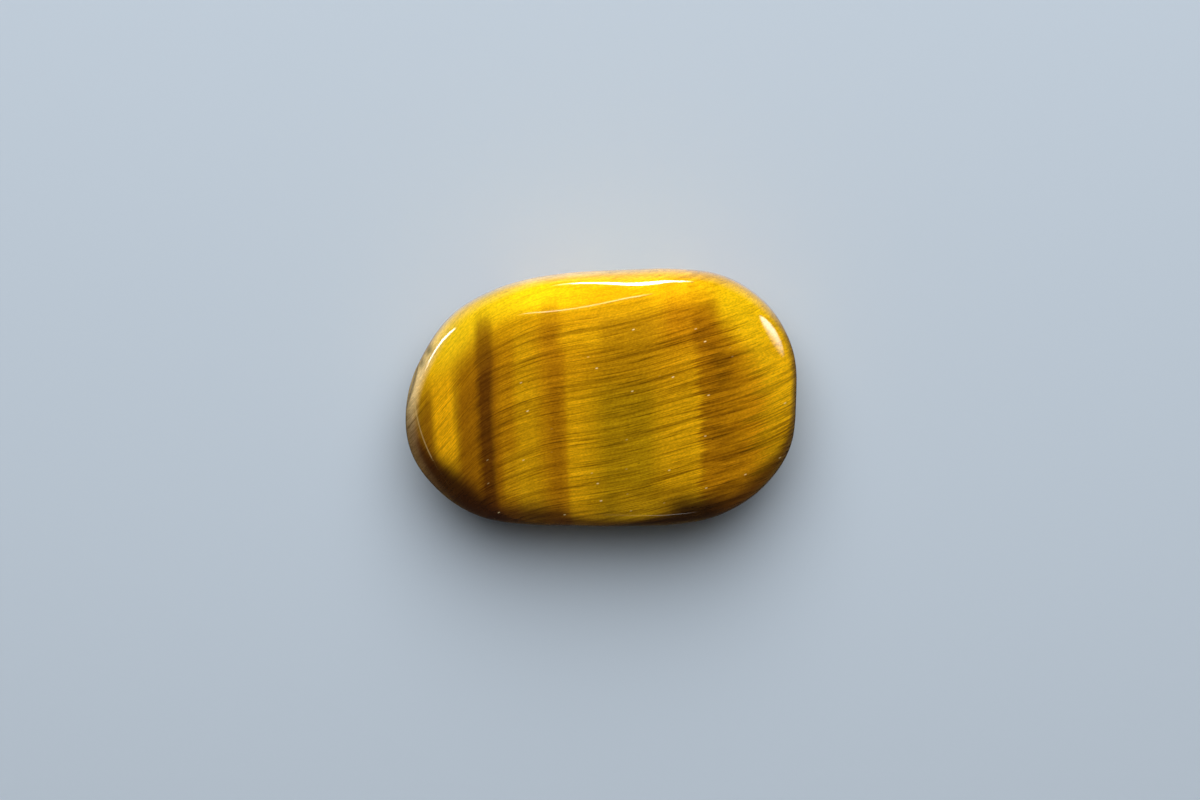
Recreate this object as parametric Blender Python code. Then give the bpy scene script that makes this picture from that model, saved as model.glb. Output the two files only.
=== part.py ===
"""A tumbled tiger's eye: one polished oblong pebble that lies on its broad, slightly flattened back.

Metres, +Z up. The pebble's length runs along X, its width along Y and its thickness along Z.
The origin is at the middle of its box, on the surface that it rests on.
"""

import math

import bmesh
import bpy
from mathutils import Vector, noise

MM = 0.001

# Driving dimensions: the pebble's box.
LENGTH = 28.0 * MM
WIDTH = 18.6 * MM
THICKNESS = 9.8 * MM

# The plan outline: how far the edge is from the middle, every 15 degrees round from +X. The left end is
# the narrow one, and the left back corner is flattened.
OUTLINE_STEP_DEG = 15
OUTLINE_REACH_MM = (
    *(14.00, 14.22, 13.79, 12.62, 10.91, 9.76),
    *(9.35, 9.51, 10.14, 11.16, 12.34, 13.13),
    *(13.92, 14.18, 13.40, 12.17, 10.57, 9.54),
    *(9.28, 9.56, 10.51, 11.93, 13.20, 14.01),
)

# The side profile: the crown above the girdle is lower than the back below it, and its face is flatter.
CROWN_SHARE = 0.41
CROWN_SQUARENESS = 2.7
BACK_SQUARENESS = 2.4

# Flats left from the rough piece: the way each faces, as degrees round from +X and degrees up, how far
# it was worn below the round form, and how soft its border is.
FLATS = (
    (97.0, 50.0, 0.20 * MM, 0.07 * MM),
    (84.0, 49.0, 0.10 * MM, 0.07 * MM),
    (150.0, 48.0, 0.25 * MM, 0.08 * MM),
    (262.0, 42.0, 0.15 * MM, 0.30 * MM),
    (25.0, 50.0, 0.20 * MM, 0.10 * MM),
    (310.0, -45.0, 0.30 * MM, 0.25 * MM),
    (190.0, -42.0, 0.35 * MM, 0.25 * MM),
    (85.0, -50.0, 0.20 * MM, 0.30 * MM),
)

# The back is worn truly flat over its middle: this is the face that the pebble rests on.
REST_WORN = 0.32 * MM
REST_SOFTNESS = 0.06 * MM
REST_SNAP = 0.012 * MM

# Slow swells that the hand feels rather than sees.
SWELL_HEIGHT = 0.08 * MM
SWELL_SPACING = 9.0 * MM

# The chip near the narrow end: a shallow bite where a splinter left before the last polish.
CHIP_DIRECTION = (164.0, 5.0)
CHIP_LENGTH = 1.7 * MM
CHIP_WIDTH = 0.9 * MM
CHIP_DEPTH = 0.16 * MM

CELLS_PER_SIDE = 28


def clear_scene():
    for item in list(bpy.data.objects):
        bpy.data.objects.remove(item, do_unlink=True)


def pointing(round_deg, up_deg):
    """The direction at an angle round from +X and an angle up from level."""
    around, up = math.radians(round_deg), math.radians(up_deg)
    return Vector((math.cos(around) * math.cos(up), math.sin(around) * math.cos(up), math.sin(up)))


def edge_reach(angle_deg):
    """The outline's distance from the middle at this angle: a smooth closed curve through the table."""
    steps = (angle_deg % 360) / OUTLINE_STEP_DEG
    before = int(steps)
    share = steps - before
    a, b, c, d = (OUTLINE_REACH_MM[(before + k) % len(OUTLINE_REACH_MM)] for k in (-1, 0, 1, 2))
    bend = (2 * a - 5 * b + 4 * c - d) * share**2 + (3 * b - a - 3 * c + d) * share**3
    return MM * (2 * b + (c - a) * share + bend) / 2


def round_form(direction):
    """Where a ray from the middle leaves the round form, before any flat was worn on it."""
    crown = direction.z > 0
    height = (CROWN_SHARE if crown else 1 - CROWN_SHARE) * THICKNESS
    ray = Vector((direction.x * LENGTH / 2, direction.y * WIDTH / 2, direction.z * height))
    reach = edge_reach(math.degrees(math.atan2(ray.y, ray.x)))
    outward, upward = math.hypot(ray.x, ray.y) / reach, abs(direction.z)
    square = CROWN_SQUARENESS if crown else BACK_SQUARENESS
    return ray / (outward**square + upward**square) ** (1 / square)


def wear_flat(points, normal, depth, softness):
    """Presses what stands above a plane down to it, with a soft border all round."""
    level = max(normal.dot(point) for point in points) - depth
    for point in points:
        over = (normal.dot(point) - level) / softness
        point -= normal * softness * (over if over > 30 else math.log1p(math.exp(over)))


def swell(point):
    """How far the surface stands proud here."""
    return SWELL_HEIGHT * noise.noise(point / SWELL_SPACING)


def chip(points):
    """Sinks a shallow bite into the surface at the narrow end."""
    toward = pointing(*CHIP_DIRECTION)
    centre = max(points, key=toward.dot).copy()
    side = Vector((0, 0, 1)).cross(toward).normalized()
    lengthwise = side.cross(toward).normalized()
    for point in points:
        offset = point - centre
        far = math.hypot(offset.dot(side) / CHIP_LENGTH, offset.dot(lengthwise) / CHIP_WIDTH)
        if far < 1 and offset.dot(toward) > -CHIP_LENGTH:
            point -= toward * CHIP_DEPTH * (1 - far**2)


def fit_to_box(points):
    """Scales and moves the pebble so that its box is the stated one, and seats its back at level 0."""
    low = Vector(min(point[axis] for point in points) for axis in range(3))
    high = Vector(max(point[axis] for point in points) for axis in range(3))
    box = (LENGTH, WIDTH, THICKNESS)
    for point in points:
        for axis in range(3):
            share = (point[axis] - low[axis]) / (high[axis] - low[axis])
            point[axis] = (share - (0.5 if axis < 2 else 0)) * box[axis]
        if point.z < REST_SNAP:
            point.z = 0


def make_pebble():
    form = bmesh.new()
    bmesh.ops.create_cube(form, size=2)
    bmesh.ops.subdivide_edges(form, edges=form.edges[:], cuts=CELLS_PER_SIDE - 1, use_grid_fill=True)
    for vertex in form.verts:
        direction = Vector(math.tan(share * math.pi / 4) for share in vertex.co).normalized()
        vertex.co = round_form(direction)
    points = [vertex.co for vertex in form.verts]
    for round_deg, up_deg, depth, softness in FLATS:
        wear_flat(points, pointing(round_deg, up_deg), depth, softness)
    for point in points:
        point += point.normalized() * swell(point)
    chip(points)
    wear_flat(points, Vector((0, 0, -1)), REST_WORN, REST_SOFTNESS)
    fit_to_box(points)
    bmesh.ops.recalc_face_normals(form, faces=form.faces[:])

    mesh = bpy.data.meshes.new("tumbled_stone")
    form.to_mesh(mesh)
    form.free()
    mesh.shade_smooth()
    return mesh


def stone_material():
    """Chatoyant quartz, golden brown, with the wet-looking gloss of the last tumble."""
    material = bpy.data.materials.new("polished_tigers_eye")
    material.use_nodes = True
    shader = material.node_tree.nodes["Principled BSDF"]
    shader.inputs["Base Color"].default_value = (0.45, 0.22, 0.02, 1)
    shader.inputs["Roughness"].default_value = 0.3
    shader.inputs["Metallic"].default_value = 0
    shader.inputs["IOR"].default_value = 1.54
    return material


def main():
    clear_scene()
    collection = bpy.data.collections.new("tigers_eye")
    bpy.context.scene.collection.children.link(collection)
    stone = bpy.data.objects.new("tumbled_stone", make_pebble())
    stone.data.materials.append(stone_material())
    collection.objects.link(stone)


main()
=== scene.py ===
# %% [markdown]
# # A tumbled tiger's eye
#
# The real object is one pebble of quartz, about as long as the last joint of a thumb. Fine parallel
# fibres run through it in bands, and a tumbler full of grit and then polish has given it a wet gloss.
# It lies on its broad back, and the camera looks down on it. This notebook loads the solid that the
# physics uses, makes the fine-celled stone that is seen, and gives it its bands, fibres and gloss.

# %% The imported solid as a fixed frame
import math

import bmesh
import bpy
import numpy as np
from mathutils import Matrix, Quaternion, Vector, noise


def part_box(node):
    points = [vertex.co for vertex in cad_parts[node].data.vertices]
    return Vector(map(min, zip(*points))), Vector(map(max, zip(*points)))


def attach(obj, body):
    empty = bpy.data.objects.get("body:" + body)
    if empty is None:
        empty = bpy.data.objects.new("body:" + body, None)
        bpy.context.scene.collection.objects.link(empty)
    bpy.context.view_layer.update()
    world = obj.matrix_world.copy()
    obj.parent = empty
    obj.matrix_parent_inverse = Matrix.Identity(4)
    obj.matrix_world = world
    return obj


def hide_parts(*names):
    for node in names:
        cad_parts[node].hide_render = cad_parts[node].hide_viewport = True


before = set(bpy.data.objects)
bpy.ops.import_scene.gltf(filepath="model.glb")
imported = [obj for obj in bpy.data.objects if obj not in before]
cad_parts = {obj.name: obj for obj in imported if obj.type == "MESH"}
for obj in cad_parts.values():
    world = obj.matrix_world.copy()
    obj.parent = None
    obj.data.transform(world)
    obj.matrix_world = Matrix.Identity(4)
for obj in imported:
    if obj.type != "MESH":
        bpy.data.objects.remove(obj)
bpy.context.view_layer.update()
low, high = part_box("tumbled_stone")
MM = 0.001
print("solid, mm:", [round(size / MM, 2) for size in high - low])


# %% [markdown]
# ## Small helpers
#
# Colours are written the way that a paint chart gives them, as sRGB hex values, but Blender's shaders
# count light, which is linear. One function turns the first into the second. Another adds a node with
# its settings and links in one line, so that a material reads as a list of what it does.


# %% Colours and nodes
def linear(hex_colour):
    """An sRGB hex value as the linear colour with alpha that shaders use."""
    channels = (int(hex_colour[place : place + 2], 16) / 255 for place in (1, 3, 5))
    return (*(c / 12.92 if c <= 0.04045 else ((c + 0.055) / 1.055) ** 2.4 for c in channels), 1)


def add_node(tree, kind, links=None, **settings):
    """Adds a node, sets its properties and socket values, and links other nodes' sockets into it."""
    node = tree.nodes.new(kind)
    for name, value in settings.items():
        if hasattr(node, name):
            setattr(node, name, value)
        else:
            node.inputs[name.replace("_", " ")].default_value = value
    for place, source in (links or {}).items():
        tree.links.new(source, node.inputs[place])
    return node


def map_range(tree, value, low_in, high_in, low_out, high_out, **settings):
    """Turns one range of a value into another, and holds it at the ends."""
    ends = {"From_Min": low_in, "From_Max": high_in, "To_Min": low_out, "To_Max": high_out}
    return add_node(tree, "ShaderNodeMapRange", {"Value": value}, **ends, **settings).outputs[0]


# %% [markdown]
# ## The camera
#
# The photograph was taken with the stone on edge, leaning back. Here the stone lies down, so the camera
# goes over it: 80 degrees up, on the side of the flattened shoulder. A long lens at 355 mm keeps the
# proportions that the photograph has. The stone's middle falls a hair above the middle of the picture.

# %% Camera
CAMERA_DISTANCE = 355 * MM
CAMERA_TIP = math.radians(10)
PICTURE_WIDTH_PX = 1200
PICTURE_SPAN = 86.15 * MM  # how much of the floor the picture spans at the stone
AIM_SHIFT_PX = Vector((-1, -4, 0))  # from the stone's middle

lens = bpy.data.cameras.new("long_lens")
lens.sensor_width = 36
lens.lens = lens.sensor_width * CAMERA_DISTANCE / PICTURE_SPAN
lens.clip_start, lens.clip_end = 10 * MM, 5
camera = bpy.data.objects.new("camera", lens)
bpy.context.scene.collection.objects.link(camera)
bpy.context.scene.camera = camera
look_at = (low + high) / 2 + AIM_SHIFT_PX * PICTURE_SPAN / PICTURE_WIDTH_PX
back_along_view = Vector((0, math.sin(CAMERA_TIP), math.cos(CAMERA_TIP)))
camera.location = look_at + back_along_view * CAMERA_DISTANCE
camera.rotation_euler = (-CAMERA_TIP, 0, 0)
print("lens, mm:", round(lens.lens, 1))

# %% [markdown]
# ## The stone's form
#
# The real stone got its form in a tumbler: a broken piece lost its corners, a few flats stayed, and the
# back was worn flat enough to rest on. The solid has this form in cells of nearly a millimetre, which
# a mirror gloss would show as facets. Smoothing a copy would shrink it, so the same gauges are used
# again here on a finer cube: its cells are spread over a ball, and each is drawn in or out to the form.
# The cells are packed closest along the shoulder, where the surface turns fast and the gloss sees it.

# %% The same gauges as the solid's, in metres
LENGTH, WIDTH, THICKNESS = 28.0 * MM, 18.6 * MM, 9.8 * MM
OUTLINE_STEP_DEG = 15
OUTLINE_REACH_MM = (
    *(14.00, 14.22, 13.79, 12.62, 10.91, 9.76),
    *(9.35, 9.51, 10.14, 11.16, 12.34, 13.13),
    *(13.92, 14.18, 13.40, 12.17, 10.57, 9.54),
    *(9.28, 9.56, 10.51, 11.93, 13.20, 14.01),
)
CROWN_SHARE, CROWN_SQUARENESS, BACK_SQUARENESS = 0.41, 2.7, 2.4
# The way each flat faces, as degrees round from +X and up, its depth, and how soft its border is.
FLATS = (
    (97.0, 50.0, 0.20 * MM, 0.07 * MM),
    (84.0, 49.0, 0.10 * MM, 0.07 * MM),
    (150.0, 48.0, 0.25 * MM, 0.08 * MM),
    (262.0, 42.0, 0.15 * MM, 0.30 * MM),
    (25.0, 50.0, 0.20 * MM, 0.10 * MM),
    (310.0, -45.0, 0.30 * MM, 0.25 * MM),
    (190.0, -42.0, 0.35 * MM, 0.25 * MM),
    (85.0, -50.0, 0.20 * MM, 0.30 * MM),
)
REST_WORN, REST_SOFTNESS, REST_SNAP = 0.32 * MM, 0.06 * MM, 0.012 * MM
SWELL_HEIGHT, SWELL_SPACING = 0.08 * MM, 9.0 * MM
CHIP_DIRECTION, CHIP_LENGTH, CHIP_WIDTH, CHIP_DEPTH = (164.0, 5.0), 1.7 * MM, 0.9 * MM, 0.16 * MM
# Only the looks need these two: how many cells, and how much closer they lie by the cube's edges.
CELLS_PER_SIDE = 126
CROWDING = 0.3


# %% Drawing the cells out to the round form
def pointing(round_deg, up_deg):
    """The direction at an angle round from +X and an angle up from level."""
    around, up = math.radians(round_deg), math.radians(up_deg)
    return np.array((math.cos(around) * math.cos(up), math.sin(around) * math.cos(up), math.sin(up)))


def edge_reach(angle):
    """The outline's distance from the middle at each angle: a smooth closed curve through the table."""
    steps = np.degrees(angle) % 360 / OUTLINE_STEP_DEG
    before = steps.astype(int)
    share = steps - before
    table = np.array(OUTLINE_REACH_MM)
    a, b, c, d = (table[(before + k) % len(table)] for k in (-1, 0, 1, 2))
    bend = (2 * a - 5 * b + 4 * c - d) * share**2 + (3 * b - a - 3 * c + d) * share**3
    return MM * (2 * b + (c - a) * share + bend) / 2


def round_form(directions):
    """Where rays from the middle leave the round form, before any flat was worn on it."""
    crown = directions[:, 2] > 0
    height = np.where(crown, CROWN_SHARE, 1 - CROWN_SHARE) * THICKNESS
    half_box = np.stack([np.full(len(height), LENGTH / 2), np.full(len(height), WIDTH / 2), height], 1)
    rays = directions * half_box
    outward = np.hypot(rays[:, 0], rays[:, 1]) / edge_reach(np.arctan2(rays[:, 1], rays[:, 0]))
    upward = np.abs(directions[:, 2])
    square = np.where(crown, CROWN_SQUARENESS, BACK_SQUARENESS)
    return rays / ((outward**square + upward**square) ** (1 / square))[:, None]


def wear_flat(points, normal, depth, softness):
    """Presses what stands above a plane down to it, with a soft border all round."""
    over = (points @ normal - ((points @ normal).max() - depth)) / softness
    points -= np.outer(softness * np.logaddexp(0, over), normal)


def sink_chip(points):
    """Sinks a shallow bite into the surface at the narrow end."""
    toward = pointing(*CHIP_DIRECTION)
    side = np.cross((0, 0, 1), toward)
    side /= np.linalg.norm(side)
    offset = points - points[(points @ toward).argmax()]
    far = np.hypot(offset @ side / CHIP_LENGTH, offset @ np.cross(side, toward) / CHIP_WIDTH)
    bitten = np.where(offset @ toward > -CHIP_LENGTH, np.clip(1 - far**2, 0, 1), 0)
    points -= np.outer(CHIP_DEPTH * bitten, toward)


def noise_at(points, spacing):
    """Slow noise at each point, whose swells are about this far apart."""
    return np.array([noise.noise(Vector(point) / spacing) for point in points])


# %% The fine-celled pebble
form = bmesh.new()
bmesh.ops.create_cube(form, size=2)
bmesh.ops.subdivide_edges(form, edges=form.edges[:], cuts=CELLS_PER_SIDE - 1, use_grid_fill=True)
corners = np.array([vertex.co for vertex in form.verts])
directions = np.tan(((1 + CROWDING) * corners - CROWDING * corners**3) * math.pi / 4)
directions /= np.linalg.norm(directions, axis=1)[:, None]
points = round_form(directions)
for round_deg, up_deg, depth, softness in FLATS:
    wear_flat(points, pointing(round_deg, up_deg), depth, softness)
swell = noise_at(points, SWELL_SPACING) * SWELL_HEIGHT
points += points / np.linalg.norm(points, axis=1)[:, None] * swell[:, None]
sink_chip(points)
wear_flat(points, np.array((0, 0, -1.0)), REST_WORN, REST_SOFTNESS)
points -= points.min(0)
points *= np.array((LENGTH, WIDTH, THICKNESS)) / points.max(0)
points -= np.array((LENGTH / 2, WIDTH / 2, 0))
points[points[:, 2] < REST_SNAP, 2] = 0
for vertex, point in zip(form.verts, points):
    vertex.co = point
bmesh.ops.recalc_face_normals(form, faces=form.faces[:])
mesh = bpy.data.meshes.new("polished_stone")
form.to_mesh(mesh)
form.free()
mesh.shade_smooth()
stone = bpy.data.objects.new("polished_stone", mesh)
bpy.context.scene.collection.objects.link(stone)
print("stone faces:", len(mesh.polygons))

# %% [markdown]
# ## Where the fibres run
#
# In the real stone the fibres are straight in space but kinked where bands meet: they lie nearly along
# the stone in the middle, rise gently at the broad end and turn steep at the narrow end. Three
# distances say where a point is among them: across the bands, across the fibres, and how far above or
# below the middle, measured so that it bows down with the stone's ends. They are kept on the mesh as
# an attribute, so that noise can be stretched along bent fibres, which no plain mapping can do.
# A second attribute gives the fibre's own direction, for the silky sheen.

# %% Fibre angles along the stone
GRAIN_REACH_MM = 14.5  # a little past both ends of the stone
FIBRE_ANGLE_AT_MM = (
    *((-14, 54), (-9.2, 50), (-8.6, 40), (-7.8, 30), (-6.4, 25), (-4.6, 18), (-3.2, 11)),
    *((-1.5, 9), (0, 10), (1.5, 13), (4, 16), (6, 16), (8, 13), (10, 16), (12, 20), (14, 22)),
)
# How far the bands lean towards the broad end for each mm towards the near edge and the far one.
LEAN_AT_MM = (-10.3, -8.4, -3.3, 6.7)
LEAN_NEAR = (0.02, 0.045, 0.024, 0.013)
LEAN_FAR = (0.0, 0.02, 0.054, 0.013)
LEAN_DOWN = 0.10
WANDER_SPACING, WANDER_MM = 6 * MM, 0.10


def keep_on_mesh(name, values):
    """Keeps a number, vector or colour for each point on the mesh, where the material reads it."""
    kinds = {1: ("FLOAT", "value"), 3: ("FLOAT_VECTOR", "vector"), 4: ("FLOAT_COLOR", "color")}
    kind, field = kinds[values.size // len(points)]
    mesh.attributes.new(name, kind, "POINT").data.foreach_set(field, values.ravel())


along = np.linspace(-GRAIN_REACH_MM, GRAIN_REACH_MM, 581)
climb_rate = np.tan(np.radians(np.interp(along, *zip(*FIBRE_ANGLE_AT_MM))))
climbed = np.cumsum(climb_rate) * (along[1] - along[0])
climbed -= np.interp(0, along, climbed)

x_mm, y_mm, z_mm = (points / MM).T
lean_near = np.interp(x_mm, LEAN_AT_MM, LEAN_NEAR)
lean_far = np.interp(x_mm, LEAN_AT_MM, LEAN_FAR)
leaned = lean_near * np.minimum(y_mm, 0) + lean_far * np.maximum(y_mm, 0)
below_top = z_mm - THICKNESS / MM
across_bands = x_mm + leaned + LEAN_DOWN * below_top + WANDER_MM * noise_at(points, WANDER_SPACING)
# The bright line turns towards the narrow end where it climbs the shoulder.
across_bands += 0.14 * np.interp(x_mm, (4, 6), (0, 1)) * np.maximum(y_mm - 2, 0)
across_fibres = y_mm - np.interp(x_mm, along, climbed)
share_to_end = np.clip(np.abs(x_mm) / (LENGTH / 2 / MM), 0, 0.998)
bow = (1 - share_to_end**CROWN_SQUARENESS) ** (1 / CROWN_SQUARENESS)
above_middle = (z_mm - (1 - CROWN_SHARE) * THICKNESS / MM) / bow
keep_on_mesh("grain", np.stack([across_bands, across_fibres, above_middle], 1))
angle = np.radians(np.interp(x_mm, *zip(*FIBRE_ANGLE_AT_MM)))
keep_on_mesh("fibre_direction", np.stack([np.cos(angle), np.sin(angle), np.zeros_like(angle)], 1))
print("fibres climb, mm:", round(climbed[0], 2), round(climbed[-1], 2))

# %% [markdown]
# ## Where the stone's colour departs from its bands, and where light and shade are painted
#
# The bands alone would be as even as stripes on cloth. Over them a sheen is painted on the far shoulder
# and a glow along the far corners, where the key light falls. Along the near corners they darken, partly
# with the stone's dark iron and partly with painted shade. They end in a pale rind and a grey-brown rim,
# with a painted reflection as a pale fringe along the far rim.
# Each of these is laid over the others as a thin wash: a colour, and how much of it each point gets.
# Washes change slowly, so the mesh itself can carry them, and the fine fibres are drawn over them.


# %% Where a wash lies
def rise(value, start, end):
    """Goes smoothly from 0 to 1 while the value goes from start to end."""
    share = np.clip((value - start) / (end - start), 0, 1)
    return share * share * (3 - 2 * share)


def toward_side(round_deg, spread_deg):
    """How much each point lies on this side of the stone: 1 on it, falling off over the spread."""
    turn = (np.degrees(np.arctan2(y_mm, x_mm)) - round_deg + 180) % 360 - 180
    return np.exp(-((turn / spread_deg) ** 2))


def edge_strip(start_mm, end_mm, round_deg, spread_deg):
    """A strip along the edge on this side: whole as far inland as the start, and gone by the end."""
    return (1 - rise(inland_mm, start_mm, end_mm)) * toward_side(round_deg, spread_deg)


def patch(x_middle, half_width, y_bottom, y_top, fade, core=0.6):
    """A patch of the crown seen from above: whole over the core of its width, with soft sides and ends."""
    sides = 1 - rise(np.abs(x_mm - x_middle) / half_width, core, 1.2)
    bottom = rise(y_mm, y_bottom - fade, y_bottom + fade)
    top = 1 - rise(y_mm, y_top - fade, y_top + fade)
    return sides * bottom * top * on_crown


def depth_inland(least_mm, swells):
    """How far inland a darkening reaches, farther toward the side of each swell."""
    return least_mm + sum(more_mm * toward_side(*side) for more_mm, *side in swells)


def lay_wash(hex_colour, amount):
    """Lays one more thin colour over those that are there."""
    wash[:] = wash * (1 - amount)[:, None] + np.outer(amount, linear(hex_colour))


wash = np.zeros((len(points), 4))
inland_mm = edge_reach(np.arctan2(y_mm, x_mm)) / MM - np.hypot(x_mm, y_mm)
normals = np.array([vertex.vector for vertex in mesh.vertex_normals])
# How much each point faces the far side, where the key light stands: the painted sheen follows it.
facing_key_light = normals[:, 1] + 0.25 * np.abs(normals[:, 0]) * rise(y_mm, 0, 3)
on_crown = rise(z_mm, 4.2, 6.4)
on_rim = rise(z_mm, 4.0, 5.4)
on_high_wall = rise(-y_mm, 0, 3) * rise(z_mm, 2.4, 4.8)

# %% Warm places and painted light: the far part of the face, the heart of the narrow end with a partly painted glow, a painted sheen on the shoulder, and a patch by it
lay_wash("#B07406", 0.45 * patch(1.0, 6.5, 1.6, 8.0, 1.6))
# The gold heart of the narrow end: partly the stone's colour, partly a painted glow.
lay_wash("#EEAC08", 0.85 * patch(-11.25 - 0.09 * y_mm, 0.85, -3.9, 4.8, 1.5))
# Painted sheen: the shoulder that faces the key light is painted brighter gold.
lay_wash("#D69E06", 0.85 * rise(facing_key_light, 0.20, 0.55) * on_crown)
lay_wash("#E0A808", 0.5 * patch(-1.6, 1.7, 4.4, 5.8, 0.8))
# A painted glow along the far corners of both ends, and round the broad one, where the key light falls.
lay_wash("#E0A406", 0.6 * edge_strip(2.2, 4.6, 142, 26) * on_crown)
lay_wash("#F4CC10", 0.85 * edge_strip(0.9, 3.0, 134, 27) * on_crown)
lay_wash("#F4C40A", 0.85 * edge_strip(1.2, 4.0, 34, 16) * on_crown)
lay_wash("#F2BC0C", 0.6 * edge_strip(1.2, 4.6, 21, 12) * on_crown)
lay_wash("#FFD418", 0.6 * edge_strip(0.8, 3.4, 157, 10) * on_crown)
lay_wash("#E8AC08", 0.75 * edge_strip(0.8, 3.0, 8, 18) * on_crown)

# %% Brown patches by the shoulder and in the broad end, and two gold ones by the near edge
lay_wash("#A46804", 0.75 * patch(6.3, 2.1, 4.4, 8.0, 1.3))
lay_wash("#8C5804", 0.5 * patch(7.3, 1.3, 3.2, 6.2, 1.5, core=0.2))
lay_wash("#B07A06", 0.35 * patch(3.9, 1.2, 4.2, 6.8, 1.0, core=0.3))
lay_wash("#CC980A", 0.4 * patch(2.4, 1.7, -8.2, -6.0, 0.7, core=0.3))
lay_wash("#B87A06", 0.5 * patch(9.0, 1.8, -6.4, -3.2, 0.9))
lay_wash("#CC980A", 0.5 * patch(-6.0, 0.9, -6.6, -3.4, 0.8))
# Two bands show through the painted sheen of the shoulder, though only faintly, as darker streaks.
lay_wash("#7A4A05", 0.72 * patch(-8.35, 0.72, 2.6, 6.2, 1.0, core=0.35))
lay_wash("#A87006", 0.45 * patch(-3.65, 0.65, 3.6, 7.4, 0.7))

# %% Darker along the near edge, deepest at both of its corners: partly dark iron, partly painted shade on the wall that faces away from the key light
STAIN_AND_SHADE_SWELLS = ((0.7, -92, 24), (2.2, -46, 20), (1.3, -23, 11), (3.1, -152, 18), (2.9, -122, 14))
IRON_AND_SHADE_SWELLS = ((2.7, -149, 19), (1.1, -60, 14))
stain_and_shade_mm = depth_inland(0.5, STAIN_AND_SHADE_SWELLS)
iron_and_shade_mm = depth_inland(0.3, IRON_AND_SHADE_SWELLS)
# The darkening, partly painted shade, lies high on the wall, and not under it.
lay_wash("#4A2405", 0.85 * (1 - rise(inland_mm, 0.3 * stain_and_shade_mm, stain_and_shade_mm)) * on_high_wall)
lay_wash("#341804", 0.88 * (1 - rise(inland_mm, 0.5 * iron_and_shade_mm, iron_and_shade_mm)) * on_high_wall)
lay_wash("#2E1804", 0.92 * patch(6.6, 2.9, -9.9, -6.5, 1.1, core=0.2))

# %% The rim: a painted reflection as a pale far fringe, the pale rind of the narrow end, the brown broad end, and two pits
# Painted reflection: a pale fringe along the far rim.
lay_wash("#FFEDB8", 0.75 * edge_strip(0.05, 0.4, 112, 45) * on_rim)
lay_wash("#6E3C06", 0.6 * edge_strip(1.5, 2.4, 188, 9) * on_crown)
lay_wash("#FFE0A0", 0.92 * edge_strip(0.35, 1.1, 172, 15) * on_rim)
lay_wash("#8C6A3C", 0.7 * edge_strip(0.3, 0.9, 196, 12) * on_rim)
lay_wash("#5C4424", 0.8 * edge_strip(0.10, 0.6, 0, 34))
for pit_x, pit_y, strength in ((-12.31, 3.7, 0.85), (-12.84, 2.75, 0.7)):
    away = ((x_mm - pit_x) / 0.36) ** 2 + ((y_mm - pit_y) / 0.42) ** 2 + ((z_mm - 6.75) / 0.5) ** 2
    lay_wash("#4E5038", strength * np.exp(-away))
# On the walls the bands show a little through all of them.
wash *= np.interp(normals[:, 2], (0.1, 0.6), (0.6, 1))[:, None]
keep_on_mesh("wash", wash)
print("washed share:", round(float((wash[:, 3] > 0.05).mean()), 2))

# %% What else the mesh carries: a crack, how ragged the bands' borders are, and how clear the fibres
# A healed crack runs just inside the rind. It is thin, so the mesh carries the distance from it, which
# changes sign there and so passes through nothing.
beside_crack = x_mm + 13.28 + 0.123 * y_mm - 0.048 * y_mm**2
past_its_ends = 2 * rise(np.abs(y_mm + 2.0), 1.8, 3.2)
from_crack = np.hypot(beside_crack, past_its_ends) + 5 * (1 - on_crown)
keep_on_mesh("from_crack_mm", from_crack * np.sign(beside_crack))

# Where the fibres of one band reach far into the next: right of the bright line, the brown is ragged.
raggedness = 0.07 + 0.20 * rise(across_bands, 5.5, 6.5) + 0.6 * rise(across_bands, 7.4, 9.0)
keep_on_mesh("ragged_mm", raggedness)

# Fibres show at their clearest on the face. On the turned shoulder they blur into the painted sheen, and on
# the walls they blur as well.
in_broad_half = rise(x_mm, -2, 4)
in_narrow_end = rise(-x_mm, 7.6, 9.2)
on_shoulder = rise(facing_key_light, 0.16, 0.5)
on_wall = rise(1 - np.abs(normals[:, 2]), 0.35, 0.8)
clearness = 1.2 + 0.15 * in_broad_half - 0.85 * on_shoulder - 0.5 * in_narrow_end
keep_on_mesh("clarity", np.clip(np.minimum(clearness, 1.35 - 0.75 * on_wall), 0.3, 1.35))

# %% [markdown]
# ## The stone's material
#
# Tiger's eye is quartz full of fine fibres of iron oxide, ground and then polished. The polish is
# clear and smooth, so it is a coat with quartz's IOR of 1.54. Under it the fibres act like silk: they
# mirror light, tinted gold, in a fan across themselves, so the base is partly metallic, rough, and
# stretched across the fibre direction. The bands are iron that rusted more or less: honey, olive,
# tawny and dark brown.

# %% Band colours
BAND_COLOURS = {
    "rind": "#CCA45C",
    "honey": "#DCA406",
    "glint": "#C89206",
    "gold": "#C08C06",
    "olive": "#9E7604",
    "tawny": "#AC7404",
    "umber": "#9C6604",
    "brown": "#966004",
    "dark": "#603604",
    "amber": "#C08006",
}
# Where each colour is at its purest, in mm across the bands.
BANDS = (
    *((-13.9, "rind"), (-13.2, "gold"), (-12.5, "tawny"), (-11.6, "gold"), (-10.8, "gold")),
    *((-10.0, "brown"), (-9.1, "brown"), (-8.6, "dark"), (-8.0, "dark"), (-7.6, "brown")),
    *((-7.1, "tawny"), (-6.5, "tawny"), (-5.9, "gold"), (-4.9, "gold"), (-3.9, "tawny")),
    *((-3.4, "umber"), (-3.0, "umber"), (-2.6, "tawny"), (-2.3, "glint"), (-1.6, "glint")),
    *((0.4, "olive"), (3.2, "olive"), (4.6, "gold"), (6.4, "gold"), (6.75, "glint")),
    *((7.3, "umber"), (8.4, "umber"), (9.4, "tawny"), (10.4, "amber"), (11.9, "gold")),
    *((12.6, "honey"), (14.1, "tawny")),
)
print("bands:", len(BANDS))

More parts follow.
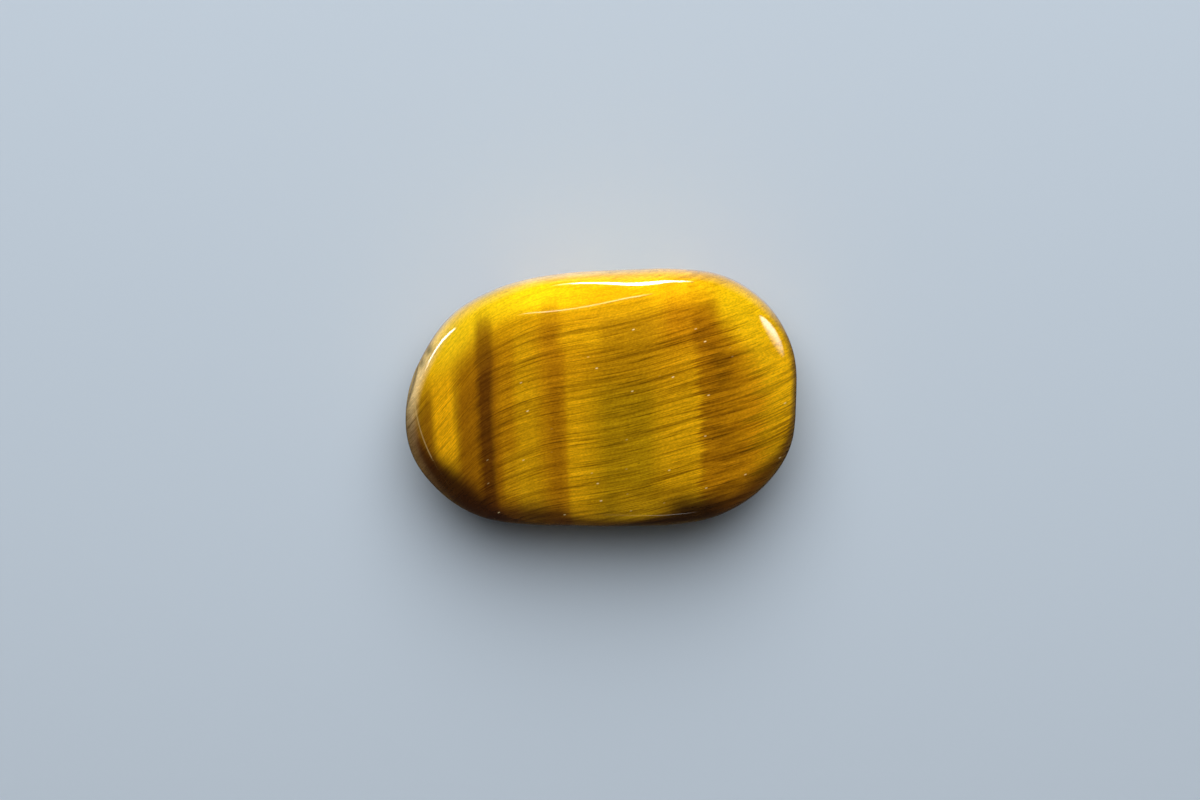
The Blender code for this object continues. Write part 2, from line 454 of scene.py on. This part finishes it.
# %% Fibre sizes, each as mm along the fibre, across it, and down into the stone
# A single fibre is a few hundredths of a millimetre thick. The threads are drawn as coarse as they need
# to show, 0.11 mm, and gather in strands and sheets.
THREAD_MM, STRAND_MM, SHEET_MM = (4.0, 0.11, 0.6), (8.0, 0.26, 1.6), (14.0, 1.3, 4.0)
SAG_MM, BLOTCH_MM, SPARKLE_MM = (9, 2.4, 5), (2.6, 0.36, 2.0), (0.17, 0.11, 0.17)
SPECK_CELL_MM = (2.6, 1.2)
NOISE_LOW, NOISE_HIGH = 0.3, 0.7  # the middle part of noise's 0 to 1, which is spread over other values
QUARTZ_IOR = 1.54

# %% Polished tiger's eye: what it gives the eye is a silky gold glow under a wet gloss
tigers_eye = bpy.data.materials.new("polished_tigers_eye")
tigers_eye.use_nodes = True
tree = tigers_eye.node_tree
shader = tree.nodes["Principled BSDF"]


def attribute(name, output="Fac"):
    """What the mesh carries under this name."""
    return add_node(tree, "ShaderNodeAttribute", attribute_name=name).outputs[output]


def noise_over(vector, stretch_mm, detail=1.0, roughness=0.5):
    """Noise whose patches are this many millimetres long, wide and high."""
    drawn = add_node(tree, "ShaderNodeMapping", {"Vector": vector}, Scale=[1 / size for size in stretch_mm])
    fineness = {"Scale": 1, "Detail": detail, "Roughness": roughness}
    return add_node(tree, "ShaderNodeTexNoise", {"Vector": drawn.outputs[0]}, **fineness).outputs[0]


def remap(value, low_in, high_in, low_out, high_out):
    """Turns one range of a value into another in the stone's material."""
    return map_range(tree, value, low_in, high_in, low_out, high_out)


def spread(noisy, low_out, high_out):
    """Spreads the middle part of noise over these values."""
    return remap(noisy, NOISE_LOW, NOISE_HIGH, low_out, high_out)


def math_node(operation, first, second):
    """One sum, with sockets or numbers."""
    node = add_node(tree, "ShaderNodeMath", operation=operation)
    for place, value in enumerate((first, second)):
        if isinstance(value, (int, float)):
            node.inputs[place].default_value = value
        else:
            tree.links.new(value, node.inputs[place])
    return node.outputs[0]


def product(first, *others):
    """All of these multiplied together."""
    for other in others:
        first = math_node("MULTIPLY", first, other)
    return first


def vector_sum(operation, *sockets):
    """One sum with vectors or colours."""
    return add_node(tree, "ShaderNodeVectorMath", dict(enumerate(sockets)), operation=operation).outputs[0]


def dabbed(colour, amount, hex_colour):
    """A colour with this much of a plain one over it."""
    node = add_node(tree, "ShaderNodeMix", {"Factor": amount, 6: colour}, data_type="RGBA")
    node.inputs[7].default_value = linear(hex_colour)
    return node.outputs[2]


# Fibres sag and part a little, by less than a tenth of a millimetre over several millimetres.
straight = attribute("grain", "Vector")
sagging = spread(noise_over(straight, SAG_MM), -0.07, 0.07)
sag = add_node(tree, "ShaderNodeCombineXYZ", {"Y": sagging})
grain_at = vector_sum("ADD", straight, sag.outputs[0])
threads = noise_over(grain_at, THREAD_MM, detail=4, roughness=0.66)
strands = noise_over(grain_at, STRAND_MM)
sheets = noise_over(grain_at, SHEET_MM)

# %% Bands with ragged borders, and the washes over them
along_x = add_node(tree, "ShaderNodeSeparateXYZ", {"Vector": grain_at}).outputs["X"]
fray = math_node("ADD", spread(threads, -1, 1), spread(strands, -1.2, 1.2))
frayed = math_node("ADD", along_x, product(fray, attribute("ragged_mm")))
place_in_ramp = remap(frayed, -GRAIN_REACH_MM, GRAIN_REACH_MM, 0, 1)
ramp = add_node(tree, "ShaderNodeValToRGB", {"Fac": place_in_ramp})
stops = ramp.color_ramp.elements
for place, (middle, name) in enumerate(BANDS):
    position = (middle + GRAIN_REACH_MM) / (2 * GRAIN_REACH_MM)
    stop = stops[place] if place < 2 else stops.new(position)
    stop.position = position
    stop.color = linear(BAND_COLOURS[name])

unwashed = math_node("SUBTRACT", 1, attribute("wash", "Alpha"))
coloured = vector_sum("MULTIPLY_ADD", ramp.outputs[0], unwashed, attribute("wash", "Color"))

# %% The fibres over all, as light and dark
lit_threads = product(spread(threads, 1.38, 0.70), remap(threads, 0.55, 0.66, 1, 0.68))
lit_strands = product(spread(strands, 1.12, 0.9), remap(strands, 0.58, 0.68, 1, 0.82))
lit_sheets = spread(sheets, 0.9, 1.1)
# Right of the bright line, the brown is broken into blotches that lie along the fibres.
blotches = remap(noise_over(grain_at, BLOTCH_MM), 0.48, 0.62, 0, 0.30)
in_brown = product(remap(along_x, 6.9, 7.3, 0, 1), remap(along_x, 9.4, 11.4, 1, 0))
unblotched = math_node("SUBTRACT", 1, product(blotches, in_brown))
by_fibres = product(lit_threads, lit_strands, lit_sheets, unblotched)
light_and_dark = math_node("POWER", by_fibres, attribute("clarity"))
# Silk sparkles in grains as well as in lines.
silk = product(light_and_dark, spread(noise_over(straight, SPARKLE_MM), 0.84, 1.16))
# Where less light comes back it is browner, so green and blue fall off sooner than red.
tinted = {"X": silk, "Y": math_node("POWER", silk, 1.12), "Z": math_node("POWER", silk, 1.3)}
streaked = vector_sum("MULTIPLY", coloured, add_node(tree, "ShaderNodeCombineXYZ", tinted).outputs[0])

# %% Painted glints as bright specks where a fibre's end would catch the light, a few dark specks of iron, and the healed crack
cell_scale = (1 / SPECK_CELL_MM[0], 1 / SPECK_CELL_MM[1], 1)
cells_at = add_node(tree, "ShaderNodeMapping", {"Vector": grain_at}, Scale=cell_scale).outputs[0]
cells = add_node(tree, "ShaderNodeTexVoronoi", {"Vector": cells_at}, voronoi_dimensions="2D", Scale=1)
chance = add_node(tree, "ShaderNodeSeparateColor", {"Color": cells.outputs["Color"]}).outputs[0]
near_middle = remap(cells.outputs["Distance"], 0.018, 0.045, 1, 0)
speck = product(near_middle, remap(attribute("clarity"), 1.0, 1.2, 0, 1))
painted_glint = product(speck, remap(chance, 0.6, 1.0, 0, 1))
dark_speck = product(speck, math_node("LESS_THAN", chance, 0.04), 0.7)
on_crack = remap(math_node("ABSOLUTE", attribute("from_crack_mm"), 0), 0.02, 0.07, 0.38, 0)
# The bright specks are painted glints.
with_painted_glints = dabbed(streaked, painted_glint, "#FFECB0")
dotted = dabbed(with_painted_glints, dark_speck, "#2A1404")
healed = dabbed(dotted, on_crack, "#E6CC88")

# %% The silky base and the polish over it
tree.links.new(healed, shader.inputs["Base Color"])
tree.links.new(spread(threads, 0.45, 0.2), shader.inputs["Metallic"])
tree.links.new(attribute("fibre_direction", "Vector"), shader.inputs["Tangent"])
for name, value in {
    "Roughness": 0.5,
    "IOR": QUARTZ_IOR,
    "Specular IOR Level": 0.0,
    "Anisotropic": 0.8,
    "Anisotropic Rotation": 0.25,
    "Coat Weight": 1.0,
    "Coat Roughness": 0.02,
    "Coat IOR": QUARTZ_IOR,
}.items():
    shader.inputs[name].default_value = value
mesh.materials.append(tigers_eye)
print("material nodes:", len(tree.nodes))

# %% Putting the stone on the frame
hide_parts("tumbled_stone")
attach(stone, "root")

# %% [markdown]
# ## The floor and the light
#
# The photograph has a pale grey ground and soft light that comes low from beyond the stone. A key light
# there rakes over the stone, and small ones give the ends, the ridge and the near edge their glints.
# Wide fills only warm the fibres: they are hidden from the gloss, or they would lie on the stone's
# face as a veil. The floor is hidden from the gloss too, and the sky beyond stands in for it.


# %% Pale floor
plain = bmesh.new()
bmesh.ops.create_grid(plain, x_segments=1, y_segments=1, size=2)
floor_mesh = bpy.data.meshes.new("floor")
plain.to_mesh(floor_mesh)
plain.free()
floor = bpy.data.objects.new("floor", floor_mesh)
bpy.context.scene.collection.objects.link(floor)
floor.location.z = -0.02 * MM
floor.visible_glossy = False
# Matt card: pale, cool grey, with no gloss of its own.
card = bpy.data.materials.new("matt_grey_card")
card.use_nodes = True
card_shader = card.node_tree.nodes["Principled BSDF"]
card_shader.inputs["Base Color"].default_value = linear("#CDDAE7")
card_shader.inputs["Roughness"].default_value = 0.9
card_shader.inputs["Specular IOR Level"].default_value = 0.1
floor_mesh.materials.append(card)


# %% Lights
LAMP_DISTANCE = 0.45
LAMP_MIDDLE = (0.5, 0.5, 0)


def soft_light(name, round_deg, up_deg, size, watts, lit, in_gloss=True, roll_deg=0):
    """A soft box that faces the stone from this direction, brightest in its middle, and lights one object."""
    lamp = bpy.data.lights.new(name, "AREA")
    lamp.shape = "RECTANGLE"
    lamp.size, lamp.size_y = size
    lamp.energy = watts
    lamp.use_nodes = True
    lamp_tree = lamp.node_tree
    place = add_node(lamp_tree, "ShaderNodeNewGeometry").outputs["Parametric"]
    offset = add_node(lamp_tree, "ShaderNodeVectorMath", {0: place}, operation="SUBTRACT")
    offset.inputs[1].default_value = LAMP_MIDDLE
    far = add_node(lamp_tree, "ShaderNodeVectorMath", {0: offset.outputs[0]}, operation="LENGTH")
    glow = map_range(lamp_tree, far.outputs["Value"], 0.18, 0.5, 1, 0, interpolation_type="SMOOTHSTEP")
    lamp_tree.links.new(glow, lamp_tree.nodes["Emission"].inputs["Strength"])
    holder = bpy.data.objects.new(name, lamp)
    bpy.context.scene.collection.objects.link(holder)
    toward = Vector(pointing(round_deg, up_deg))
    holder.location = (low + high) / 2 + toward * LAMP_DISTANCE
    facing = toward.to_track_quat("Z", "Y") @ Quaternion((0, 0, 1), math.radians(roll_deg))
    holder.rotation_euler = facing.to_euler()
    holder.visible_camera = False
    holder.visible_glossy = in_gloss
    group = bpy.data.collections.new(name + "_lights")
    group.objects.link(lit)
    holder.light_linking.receiver_collection = group


# Each has degrees round from +X, degrees up, its size in metres, its watts and what it lights.
soft_light("key", 90, 4.3, (0.15, 0.09), 4.2, stone, roll_deg=16)
soft_light("left_edge", 157, 4.5, (0.055, 0.018), 0.07, stone)
soft_light("right_edge", 20, 8, (0.11, 0.08), 0.32, stone)
soft_light("ridge_line", 99, 33, (0.25, 0.018), 0.12, stone, roll_deg=42)
soft_light("near_line", 276, 3, (0.14, 0.008), 0.015, stone)
soft_light("fill", 90, 65, (0.30, 0.30), 4.05, stone, in_gloss=False)
soft_light("near_fill", 270, 35, (0.30, 0.30), 1.8, stone, in_gloss=False)
soft_light("left_fill", 150, 32, (0.20, 0.20), 1.15, stone, in_gloss=False)
soft_light("right_fill", 30, 26, (0.20, 0.20), 0.95, stone, in_gloss=False)
soft_light("floor_light", 90, 50, (0.70, 0.70), 7.1, floor)


# %% Sky: pale to the camera, dim to the stone, but for the ground beyond that the far edge mirrors
DIM_SKY = 0.03
sky = bpy.data.worlds.new("studio")
bpy.context.scene.world = sky
sky.use_nodes = True
sky_tree = sky.node_tree
seen = sky_tree.nodes["Background"]
seen.inputs["Color"].default_value = linear("#C5CFDB")
view_way = add_node(sky_tree, "ShaderNodeTexCoord").outputs["Generated"]
way = add_node(sky_tree, "ShaderNodeSeparateXYZ", {0: view_way})
below = map_range(sky_tree, way.outputs["Z"], -0.05, -0.45, 0, 0.8)
aside = add_node(sky_tree, "ShaderNodeMath", {0: way.outputs["X"]}, operation="ABSOLUTE").outputs[0]
ahead = add_node(sky_tree, "ShaderNodeMath", {0: aside, 2: way.outputs["Y"]}, operation="MULTIPLY_ADD")
ahead.inputs[1].default_value = -0.6
beyond = map_range(sky_tree, ahead.outputs[0], -0.27, -0.08, 0, 1)
ground = add_node(sky_tree, "ShaderNodeMath", {0: below, 1: beyond}, operation="MULTIPLY")
dim = add_node(sky_tree, "ShaderNodeMath", {0: ground.outputs[0]}, operation="ADD")
dim.inputs[1].default_value = DIM_SKY
mirrored = add_node(sky_tree, "ShaderNodeBackground", {"Strength": dim.outputs[0]}, Color=linear("#E4ECF4"))
to_camera = add_node(sky_tree, "ShaderNodeLightPath").outputs["Is Camera Ray"]
skies = {0: to_camera, 1: mirrored.outputs[0], 2: seen.outputs[0]}
mixed = add_node(sky_tree, "ShaderNodeMixShader", skies)
sky_tree.links.new(mixed.outputs[0], sky_tree.nodes["World Output"].inputs["Surface"])
bpy.context.scene.view_settings.view_transform = "Standard"
